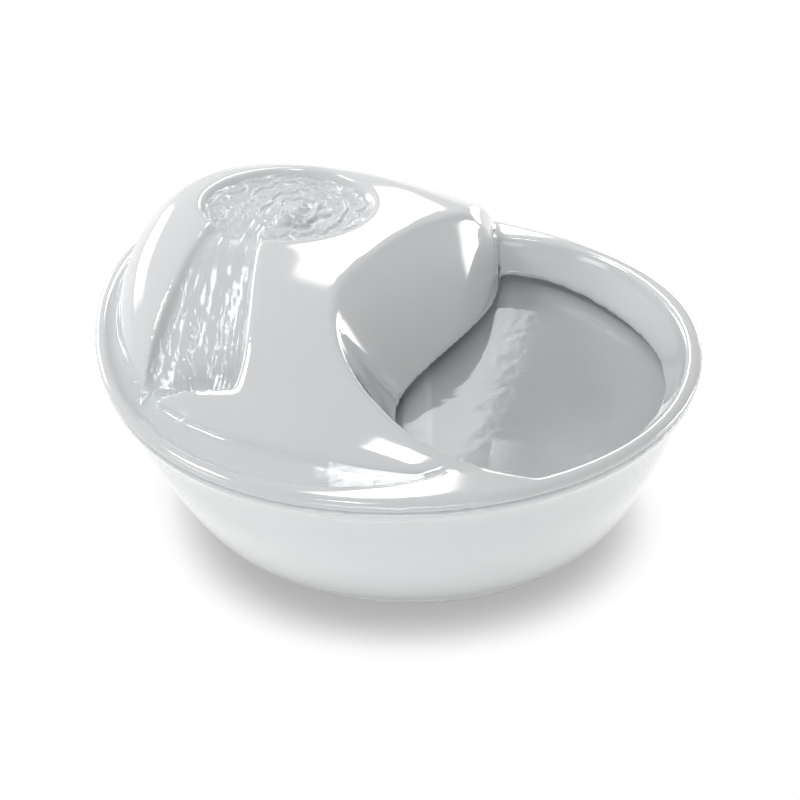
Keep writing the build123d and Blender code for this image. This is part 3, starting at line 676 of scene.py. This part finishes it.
def in_dish(x, y):
    """Whether a place is over the dish."""
    return (((x - DISH_CENTRE.x) / DISH_RADII[0]) ** 2
            + ((y - DISH_CENTRE.y) / DISH_RADII[1]) ** 2) < 1


def chute_point(share):
    """Centre and width of the chute at a share of its length."""
    at = share * (len(CHUTE) - 1)
    first = min(int(at), len(CHUTE) - 2)
    part = at - first
    (x0, y0, w0), (x1, y1, w1) = CHUTE[first], CHUTE[first + 1]
    return x0 + (x1 - x0) * part, y0 + (y1 - y0) * part, w0 + (w1 - w0) * part


class FOUNTAIN_OT_chute_water(bpy.types.Operator):
    """Run a sheet of water down the chute"""

    bl_idname = "fountain.chute_water"
    bl_label = "Water on the chute"

    def execute(self, context):
        sizes = context.scene.fountain_sizes
        floor = surface_of("cover")
        rows, columns = CHUTE_ROWS, CHUTE_COLUMNS
        dish_surface = COVER_TOP - sizes.dish_level
        heights = []
        for row in range(rows + 1):
            x, y, _ = chute_point(row / rows)
            z = top_at(floor, x, y)
            level = (GUTTER_FLOOR if z is None else z) + sizes.chute_depth
            if in_dish(x, y) or level > dish_surface:
                level = dish_surface
            # the sheet never climbs on its way down
            heights.append(min(level, heights[-1]) if heights else level)
        points = []
        for row in range(rows + 1):
            x, y, width = chute_point(row / rows)
            low, high = max(0, row - EVENED_ROWS), min(rows, row + EVENED_ROWS)
            level = sum(heights[low:high + 1]) / (high + 1 - low)
            start = min(1.0, row / STARTING_ROWS)
            for column in range(columns + 1):
                t = 2 * column / columns - 1
                px = x + CHUTE_SIDE.x * t * (width / 2 + CHUTE_OVERLAP)
                py = y + CHUTE_SIDE.y * t * (width / 2 + CHUTE_OVERLAP)
                # braids lean to and fro on their way down
                lean = BRAID_LEAN * math.sin(BRAID_TURNS * row / rows + BRAID_SKEW * t)
                rough = (strands(px + lean, py, 3.0, along=17.0, across=85.0)
                         + 0.3 * strands(px - lean, py, 5.0, along=45.0, across=240.0))
                points.append((px, py, level + start * sizes.braid_height * rough))
        corners = [r * (columns + 1) + c for r in range(rows) for c in range(columns)]
        faces = [(k, k + columns + 1, k + columns + 2, k + 1) for k in corners]
        piece = mesh_piece("chute_water", points, faces)
        # slightly grey tone: painted shade on the running sheet
        water = water_material("water_on_chute", clearness=0.7, skin=0.5, tone=0.82)
        dress(piece, water, "cover")
        let_light_through(piece)
        return {"FINISHED"}


def sheet_over(tree, lowest, level, cell, unevenness):
    """A thin sheet of water over floors between two heights, reaching a little into its walls."""
    def place(k):
        return CAD_LOW.x + k[0] * cell, CAD_LOW.y + k[1] * cell

    nx = int((CAD_HIGH.x - CAD_LOW.x) / cell)
    ny = int((CAD_HIGH.y - CAD_LOW.y) / cell)
    floors = {(i, j): top_at(tree, *place((i, j))) for i in range(nx + 1) for j in range(ny + 1)}
    wet = {k for k, z in floors.items() if z is not None and lowest < z < level}
    # nothing narrower than three cells holds water, such as a slope's strip at this height
    around = [(a, b) for a in (-1, 0, 1) for b in (-1, 0, 1)]
    inner = {(i, j) for i, j in wet if all((i + a, j + b) in wet for a, b in around)}
    wet = {(i + a, j + b) for i, j in inner for a, b in around}
    for _ in range(GUTTER_OVERLAP):
        wet |= {(i + a, j + b) for i, j in wet for a, b in around
                if (floors.get((i + a, j + b)) or 0) > level}
    numbers, points, faces = {}, [], []

    def number(k):
        if k not in numbers:
            x, y = place(k)
            numbers[k] = len(points)
            points.append((x, y, level + unevenness(x, y)))
        return numbers[k]

    for i, j in sorted(wet):
        corners = [(i, j), (i + 1, j), (i + 1, j + 1), (i, j + 1)]
        if all(k in wet for k in corners):
            faces.append([number(k) for k in corners])
    return points, faces


class FOUNTAIN_OT_gutter_water(bpy.types.Operator):
    """Lay water in the gutter round the dome"""

    bl_idname = "fountain.gutter_water"
    bl_label = "Water in the gutter"

    def execute(self, context):
        sizes = context.scene.fountain_sizes
        level = GUTTER_FLOOR + sizes.gutter_depth
        landing = Vector((CHUTE[-2][0], CHUTE[-2][1]))

        def unevenness(x, y):
            away = (Vector((x, y)) - landing).length
            stir = GUTTER_CALM + GUTTER_STIR * math.exp(-((away / STIR_REACH) ** 2))
            return stir * strands(x, y, 11.0, along=90.0, across=90.0)

        points, faces = sheet_over(surface_of("cover"), GUTTER_FLOOR - GUTTER_SLACK, level,
                                   GUTTER_CELL, unevenness)
        if not faces:
            raise RuntimeError("the gutter got no water")
        piece = mesh_piece("gutter_water", points, faces)
        water = water_material("water_in_gutter", clearness=0.9, sheen=0.3)
        dress(piece, water, "cover")
        let_light_through(piece)
        return {"FINISHED"}


class FOUNTAIN_OT_pool(bpy.types.Operator):
    """Fill the bowl with a still pool"""

    bl_idname = "fountain.pool"
    bl_label = "Pool"

    def execute(self, context):
        sizes = context.scene.fountain_sizes
        level = BOWL_RIM - sizes.pool_drop
        wall = surface_of("bowl")
        spokes, rings = POOL_SPOKES, POOL_RINGS
        centre = Vector((POOL_CENTRE.x, POOL_CENTRE.y, level))
        points = [tuple(centre)]
        for spoke in range(spokes):
            angle = 2 * math.pi * spoke / spokes
            way = Vector((math.cos(angle), math.sin(angle), 0))
            hit = wall.ray_cast(centre, way)[0]
            if hit is None:
                raise RuntimeError("the pool found no wall")
            reach = (hit - centre).length + POOL_OVERLAP
            for ring in range(1, rings + 1):
                p = centre + way * reach * ring / rings
                p.z += POOL_UNEVENNESS * strands(p.x, p.y, 23.0, along=35.0, across=35.0)
                points.append(tuple(p))
        faces = []
        for spoke in range(spokes):
            a, b = 1 + spoke * rings, 1 + (spoke + 1) % spokes * rings
            faces.append((0, a, b))
            faces += [(a + r, a + r + 1, b + r + 1, b + r) for r in range(rings - 1)]
        piece = mesh_piece("pool_water", points, faces)
        # milky and grey: painted shade for the dim bowl seen through the water
        water = water_material("water_in_bowl", clearness=0.5, sheen=0.0, tone=0.72)
        dress(piece, water, "bowl")
        let_light_through(piece)
        return {"FINISHED"}


# ---------------------------------------------------------------- stage
def soften(lamp, edge):
    """Lets a panel's light fade towards its edges, over a share of its half width."""
    lamp.use_nodes = True
    tree = lamp.node_tree
    place = tree.nodes.new("ShaderNodeNewGeometry")
    parts = axes_of(tree, place.outputs["Parametric"])
    fades = []
    for axis in ("X", "Y"):
        from_middle = math_node(tree, "ABSOLUTE", math_node(tree, "SUBTRACT", parts[axis], 0.5))
        fades.append(map_range(tree, from_middle, 0.5, 0.5 * (1 - edge), curve="SMOOTHSTEP"))
    strength = tree.nodes["Emission"].inputs["Strength"]
    tree.links.new(math_node(tree, "MULTIPLY", *fades), strength)


def softbox(name, azimuth, elevation, distance, size, radiance, target, roll, edge):
    """A soft panel that faces a point of the object. Azimuth 0 is behind it, 90 to its right."""
    lamp = bpy.data.lights.new(name, "AREA")
    lamp.shape = "RECTANGLE"
    lamp.size, lamp.size_y = size
    lamp.energy = radiance * size[0] * size[1] * math.pi
    soften(lamp, edge)
    piece = link(bpy.data.objects.new(name, lamp))
    a, e = math.radians(azimuth), math.radians(elevation)
    way = Vector((math.sin(a) * math.cos(e), math.cos(a) * math.cos(e), math.sin(e)))
    piece.location = Vector(target) + way * distance
    turned = way.to_track_quat("Z", "Y") @ Quaternion((0, 0, 1), math.radians(roll))
    piece.rotation_euler = turned.to_euler()
    piece.visible_camera = False
    return piece


def seen_or_lit(tree, lit, seen):
    """One shader for what is seen directly, in gloss or through glass, and one for other light."""
    path = tree.nodes.new("ShaderNodeLightPath")
    total = path.outputs["Is Camera Ray"]
    for ray in ("Is Glossy Ray", "Is Transmission Ray"):
        total = math_node(tree, "MAXIMUM", total, path.outputs[ray])
    choose = tree.nodes.new("ShaderNodeMixShader")
    for source, target in zip((total, lit.outputs[0], seen.outputs[0]), choose.inputs):
        tree.links.new(source, target)
    return choose.outputs[0]


def studio_world():
    """White behind the object, and an even pale room for its light."""
    world = bpy.data.worlds.new("studio")
    bpy.context.scene.world = world
    world.use_nodes = True
    tree = world.node_tree
    nodes, links = tree.nodes, tree.links
    nodes.clear()
    place = nodes.new("ShaderNodeTexCoord")
    height = axes_of(tree, place.outputs["Generated"])["Z"]
    lit = nodes.new("ShaderNodeBackground")
    links.new(map_range(tree, height, 0.0, ROOM_TURN, ROOM_LOW, ROOM_HIGH), lit.inputs["Strength"])
    seen = nodes.new("ShaderNodeBackground")
    seen.inputs["Strength"].default_value = 1.0
    out = nodes.new("ShaderNodeOutputWorld")
    links.new(seen_or_lit(tree, lit, seen), out.inputs[0])


def floor_material():
    """Pale floor that is seen as white, but for a painted soft shadow close to the foot."""
    material, tree, shader = new_material("studio_floor")
    nodes, links = tree.nodes, tree.links
    uneven = finish_group("Floor unevenness", "ShaderNodeTexNoise")
    colour = bpy.context.scene.fountain_finishes.floor_colour
    finish = placed_group(tree, uneven, colour, roughness=0.9, scale=3.0, variation=0.02)
    coat(tree, finish, shader)
    shader.inputs["Specular IOR Level"].default_value = 0.0
    # painted shadow: the glow that is seen dims where nearby parts close off the sky
    nearness = nodes.new("ShaderNodeAmbientOcclusion")
    nearness.samples = 8
    nearness.inputs["Distance"].default_value = SHADOW_REACH
    glow = nodes.new("ShaderNodeEmission")
    shade = map_range(tree, nearness.outputs["AO"], *SHADOW_OPEN, *SHADOW_TONE)
    links.new(shade, glow.inputs["Strength"])
    links.new(seen_or_lit(tree, shader, glow), nodes["Material Output"].inputs["Surface"])
    return material


class FOUNTAIN_OT_stage(bpy.types.Operator):
    """Set the floor, the lamps and the camera"""

    bl_idname = "fountain.stage"
    bl_label = "Stage"

    def execute(self, context):
        scene = context.scene
        scene.view_settings.view_transform = "Standard"
        studio_world()
        half = FLOOR_HALF
        corners = [(-half, -half, 0), (half, -half, 0), (half, half, 0), (-half, half, 0)]
        floor = mesh_piece("studio_floor", corners, [(0, 1, 2, 3)])
        floor.data.materials.append(floor_material())
        for lamp in LAMPS:
            softbox(*lamp)
        camera = bpy.data.cameras.new("camera")
        camera.lens = LENS
        camera.sensor_width = SENSOR
        placed = link(bpy.data.objects.new("camera", camera))
        placed.location = CAMERA_PLACE
        aim = Vector(CAMERA_AIM) - placed.location
        placed.rotation_euler = aim.to_track_quat("-Z", "Y").to_euler()
        scene.camera = placed
        return {"FINISHED"}


# ---------------------------------------------------------------- panel
OPERATORS = (FOUNTAIN_OT_stage, FOUNTAIN_OT_bowl, FOUNTAIN_OT_cover, FOUNTAIN_OT_pump,
             FOUNTAIN_OT_filter, FOUNTAIN_OT_dish_water, FOUNTAIN_OT_chute_water,
             FOUNTAIN_OT_gutter_water, FOUNTAIN_OT_pool)


class FOUNTAIN_PT_panel(bpy.types.Panel):
    """Sizes, finishes and pieces of the fountain"""

    bl_idname = "FOUNTAIN_PT_panel"
    bl_label = "Fountain"
    bl_space_type = "VIEW_3D"
    bl_region_type = "UI"
    bl_category = "Fountain"

    def draw(self, context):
        for group in (context.scene.fountain_sizes, context.scene.fountain_finishes):
            box = self.layout.box()
            for name in group.__annotations__:
                box.prop(group, name)
        for operator in OPERATORS:
            self.layout.operator(operator.bl_idname)


CLASSES = (FountainSizes, FountainFinishes, *OPERATORS, FOUNTAIN_PT_panel)


def register():
    for made in CLASSES:
        bpy.utils.register_class(made)
    bpy.types.Scene.fountain_sizes = PointerProperty(type=FountainSizes)
    bpy.types.Scene.fountain_finishes = PointerProperty(type=FountainFinishes)


def unregister():
    del bpy.types.Scene.fountain_finishes
    del bpy.types.Scene.fountain_sizes
    for made in reversed(CLASSES):
        bpy.utils.unregister_class(made)


def main():
    register()
    bpy.ops.fountain.stage()
    bpy.ops.fountain.bowl()
    bpy.ops.fountain.cover()
    bpy.ops.fountain.pump()
    bpy.ops.fountain.filter()
    bpy.ops.fountain.dish_water()
    bpy.ops.fountain.chute_water()
    bpy.ops.fountain.gutter_water()
    bpy.ops.fountain.pool()


if __name__ == "__main__":
    main()
